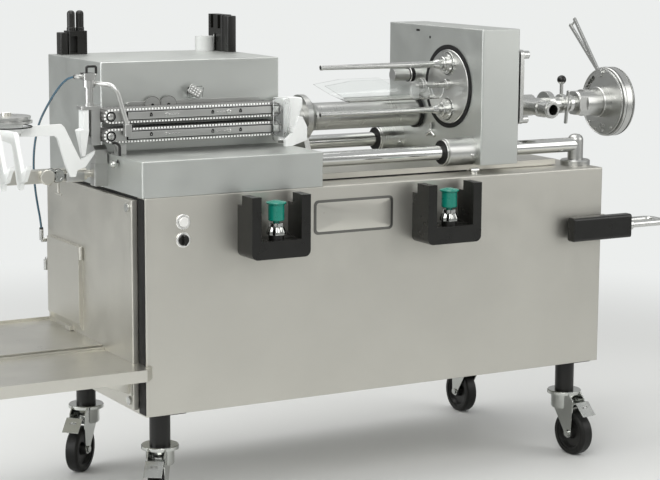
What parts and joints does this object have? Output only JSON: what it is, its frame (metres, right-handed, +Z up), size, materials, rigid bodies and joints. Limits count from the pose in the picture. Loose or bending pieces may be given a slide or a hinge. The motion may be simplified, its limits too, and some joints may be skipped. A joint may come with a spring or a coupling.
{
  "type": "sausage linking machine",
  "caption": "Floor-standing food machine on four swivel casters: two toothed belts, a sliding turret with two filling horns, a discharge nose with hooks, drip trays and palm buttons.",
  "frame": {"origin": "on the floor, midway under the whole machine without its air hose", "axes": "+X from the discharge end to the filler coupling, +Y from the operator side to the back, +Z up"},
  "size_m": [2.0384, 0.7354, 1.248],
  "materials": {
    "stainless": "satin",
    "polished": "polished",
    "white_plastic": "satin",
    "clear_plastic": "clear",
    "black_plastic": "matt",
    "green_plastic": "gloss",
    "white_lens": "gloss",
    "black_rubber": "matt",
    "chrome_ring": "polished",
    "black_paint": "satin",
    "grey_paint": "satin",
    "blue_tube": "gloss",
    "caster_zinc": "satin",
    "black_tyre": "matt"
  },
  "bodies": {
    "frame_body": {"cabinet_shell": "stainless", "end_cover": "stainless", "step_housing": "stainless", "drive_housing": "stainless", "drip_trays": "stainless", "guide_frame": "polished", "brake_tube": "polished", "hook_rail": "polished", "lower_belt_beam": "polished", "discharge_frame": "polished", "roof_holders": "polished", "hose_fittings": "polished", "casing_brake": "white_plastic", "discharge_chute": "white_plastic", "hook_chain": "white_plastic", "lower_belt": "white_plastic", "clear_guards": "clear_plastic", "palm_guards": "black_plastic", "control_rings": "chrome_ring", "leg_posts": "black_paint", "belt_gearmotor": "grey_paint", "air_hose": "blue_tube"},
    "upper_lock": {"upper_cover_lock": "polished"},
    "lower_lock": {"lower_cover_lock": "polished"},
    "carriage": {"turret_housing": "stainless", "guide_sleeves": "polished", "carriage_seals": "black_rubber", "turret_gearmotor": "grey_paint", "inlet_valve": "polished"},
    "turret": {"turret_disc": "polished", "casing_trough": "clear_plastic"},
    "upper_horn": {"upper_horn": "polished"},
    "lower_horn": {"lower_horn": "polished"},
    "lifting_belt": {"upper_belt": "white_plastic", "upper_belt_beam": "polished"},
    "lower_drive_pulley": {"lower_drive_pulley": "polished"},
    "lower_idler_pulley": {"lower_idler_pulley": "polished"},
    "upper_drive_pulley": {"upper_drive_pulley": "polished"},
    "upper_idler_pulley": {"upper_idler_pulley": "polished"},
    "swing_arm": {"swing_arm": "polished"},
    "left_palm_button": {"left_palm_button": "green_plastic"},
    "right_palm_button": {"right_palm_button": "green_plastic"},
    "push_button": {"push_button": "white_lens"},
    "selector_knob": {"selector_knob": "black_plastic"},
    "nose_wheel": {"nose_wheel": "polished"},
    "inlet_handle": {"inlet_handle": "polished"},
    "coupling_flange": {"coupling_flange": "polished"},
    "coupling_lever": {"coupling_lever": "polished"},
    "knee_lever": {"knee_lever": "black_plastic"},
    "front_left_swivel": {"front_left_fork": "caster_zinc"},
    "front_left_wheel": {"front_left_wheel": "black_tyre"},
    "front_left_pedal": {"front_left_pedal": "caster_zinc"},
    "front_right_swivel": {"front_right_fork": "caster_zinc"},
    "front_right_wheel": {"front_right_wheel": "black_tyre"},
    "front_right_pedal": {"front_right_pedal": "caster_zinc"},
    "rear_left_swivel": {"rear_left_fork": "caster_zinc"},
    "rear_left_wheel": {"rear_left_wheel": "black_tyre"},
    "rear_left_pedal": {"rear_left_pedal": "caster_zinc"},
    "rear_right_swivel": {"rear_right_fork": "caster_zinc"},
    "rear_right_wheel": {"rear_right_wheel": "black_tyre"}
  },
  "joints": [
    {"name": "upper_lock_turn", "type": "hinge", "parent": "frame_body", "child": "upper_lock", "pos_m": [-0.59585, -0.22375, 0.788], "axis": [1, 0, 0], "range_deg": [0, 90]},
    {"name": "lower_lock_turn", "type": "hinge", "parent": "frame_body", "child": "lower_lock", "pos_m": [-0.59585, -0.22375, 0.302], "axis": [-1, 0, 0], "range_deg": [0, 90]},
    {"name": "carriage_slide", "type": "slide", "parent": "frame_body", "child": "carriage", "axis": [1, 0, 0], "range_m": [-0.06, 0]},
    {"name": "turret_index", "type": "hinge", "parent": "carriage", "child": "turret", "pos_m": [0.42415, -0.08275, 1.04], "axis": [1, 0, 0], "range_deg": [0, 180]},
    {"name": "upper_horn_spin", "type": "hinge", "parent": "turret", "child": "upper_horn", "pos_m": [0.42415, -0.08275, 1.1025], "axis": [1, 0, 0], "continuous": true},
    {"name": "lower_horn_spin", "type": "hinge", "parent": "turret", "child": "lower_horn", "pos_m": [0.42415, -0.08275, 0.9775], "axis": [1, 0, 0], "continuous": true},
    {"name": "belt_lift", "type": "slide", "parent": "frame_body", "child": "lifting_belt", "axis": [0, 0, 1], "range_m": [0, 0.01]},
    {"name": "belt_drive", "type": "hinge", "parent": "frame_body", "child": "lower_drive_pulley", "pos_m": [-0.12785, -0.11275, 0.953], "axis": [0, 1, 0], "continuous": true},
    {"name": "lower_idler_turn", "type": "hinge", "parent": "frame_body", "child": "lower_idler_pulley", "pos_m": [-0.59185, -0.11275, 0.953], "axis": [0, 1, 0], "continuous": true},
    {"name": "upper_drive_turn", "type": "hinge", "parent": "lifting_belt", "child": "upper_drive_pulley", "pos_m": [-0.12785, -0.11275, 1.002], "axis": [0, 1, 0], "continuous": true},
    {"name": "upper_idler_turn", "type": "hinge", "parent": "lifting_belt", "child": "upper_idler_pulley", "pos_m": [-0.59185, -0.11275, 1.002], "axis": [0, 1, 0], "continuous": true},
    {"name": "swing_arm_turn", "type": "hinge", "parent": "frame_body", "child": "swing_arm", "pos_m": [-0.63585, -0.08275, 1.074], "axis": [0, 0, 1], "range_deg": [-60, 0]},
    {"name": "left_palm_press", "type": "slide", "parent": "frame_body", "child": "left_palm_button", "axis": [0, 0, -1], "range_m": [0, 0.006], "stiffness_N_per_m": 1500, "springref_m": -0.003},
    {"name": "right_palm_press", "type": "slide", "parent": "frame_body", "child": "right_palm_button", "axis": [0, 0, -1], "range_m": [0, 0.006], "stiffness_N_per_m": 1500, "springref_m": -0.003},
    {"name": "push_button_press", "type": "slide", "parent": "frame_body", "child": "push_button", "axis": [0, 1, 0], "range_m": [0, 0.004], "stiffness_N_per_m": 800, "springref_m": -0.002},
    {"name": "selector_turn", "type": "hinge", "parent": "frame_body", "child": "selector_knob", "pos_m": [-0.47735, -0.28775, 0.708], "axis": [0, 1, 0], "range_deg": [-45, 45]},
    {"name": "nose_wheel_spin", "type": "hinge", "parent": "frame_body", "child": "nose_wheel", "pos_m": [-0.85285, -0.08275, 0.985], "axis": [0, 0, 1], "continuous": true},
    {"name": "inlet_handle_turn", "type": "hinge", "parent": "carriage", "child": "inlet_handle", "pos_m": [0.80515, -0.08275, 0.9775], "axis": [1, 0, 0], "range_deg": [0, 90]},
    {"name": "coupling_slide", "type": "slide", "parent": "carriage", "child": "coupling_flange", "axis": [1, 0, 0], "range_m": [0, 0.06]},
    {"name": "coupling_lever_turn", "type": "hinge", "parent": "coupling_flange", "child": "coupling_lever", "pos_m": [0.95815, -0.0712, 1.05969], "axis": [1, 0, 0], "range_deg": [0, 40]},
    {"name": "knee_swing", "type": "hinge", "parent": "frame_body", "child": "knee_lever", "pos_m": [0.81015, -0.24775, 0.654], "axis": [1, 0, 0], "range_deg": [-12, 12], "stiffness_Nm_per_rad": 40},
    {"name": "front_left_swivel_turn", "type": "hinge", "parent": "frame_body", "child": "front_left_swivel", "pos_m": [-0.51385, -0.22175, 0.18], "axis": [0, 0, 1], "continuous": true},
    {"name": "front_left_wheel_roll", "type": "hinge", "parent": "front_left_swivel", "child": "front_left_wheel", "pos_m": [-0.53851, -0.25697, 0.0625], "axis": [0.8192, -0.5736, 0], "continuous": true},
    {"name": "front_left_pedal_press", "type": "hinge", "parent": "front_left_swivel", "child": "front_left_pedal", "pos_m": [-0.54368, -0.26435, 0.146], "axis": [0.8192, -0.5736, 0], "range_deg": [0, 16]},
    {"name": "front_right_swivel_turn", "type": "hinge", "parent": "frame_body", "child": "front_right_swivel", "pos_m": [0.74515, -0.22175, 0.18], "axis": [0, 0, 1], "continuous": true},
    {"name": "front_right_wheel_roll", "type": "hinge", "parent": "front_right_swivel", "child": "front_right_wheel", "pos_m": [0.74965, -0.26451, 0.0625], "axis": [0.9945, 0.1045, 0], "continuous": true},
    {"name": "front_right_pedal_press", "type": "hinge", "parent": "front_right_swivel", "child": "front_right_pedal", "pos_m": [0.75058, -0.27347, 0.146], "axis": [0.9945, 0.1045, 0], "range_deg": [0, 16]},
    {"name": "rear_left_swivel_turn", "type": "hinge", "parent": "frame_body", "child": "rear_left_swivel", "pos_m": [-0.51385, 0.26225, 0.18], "axis": [0, 0, 1], "continuous": true},
    {"name": "rear_left_wheel_roll", "type": "hinge", "parent": "rear_left_swivel", "child": "rear_left_wheel", "pos_m": [-0.5453, 0.23292, 0.0625], "axis": [0.682, -0.7314, 0], "continuous": true},
    {"name": "rear_left_pedal_press", "type": "hinge", "parent": "rear_left_swivel", "child": "rear_left_pedal", "pos_m": [-0.55188, 0.22679, 0.146], "axis": [0.682, -0.7314, 0], "range_deg": [0, 16]},
    {"name": "rear_right_swivel_turn", "type": "hinge", "parent": "frame_body", "child": "rear_right_swivel", "pos_m": [0.74515, 0.26225, 0.18], "axis": [0, 0, 1], "continuous": true},
    {"name": "rear_right_wheel_roll", "type": "hinge", "parent": "rear_right_swivel", "child": "rear_right_wheel", "pos_m": [0.74515, 0.30525, 0.0625], "axis": [-1, 0, 0], "continuous": true}
  ],
  "couplings": [
    {"joint": "lower_idler_turn", "follows": "belt_drive", "ratio": 1},
    {"joint": "upper_drive_turn", "follows": "belt_drive", "ratio": -1},
    {"joint": "upper_idler_turn", "follows": "belt_drive", "ratio": -1},
    {"joint": "coupling_slide", "follows": "carriage_slide", "ratio": -1}
  ]
}
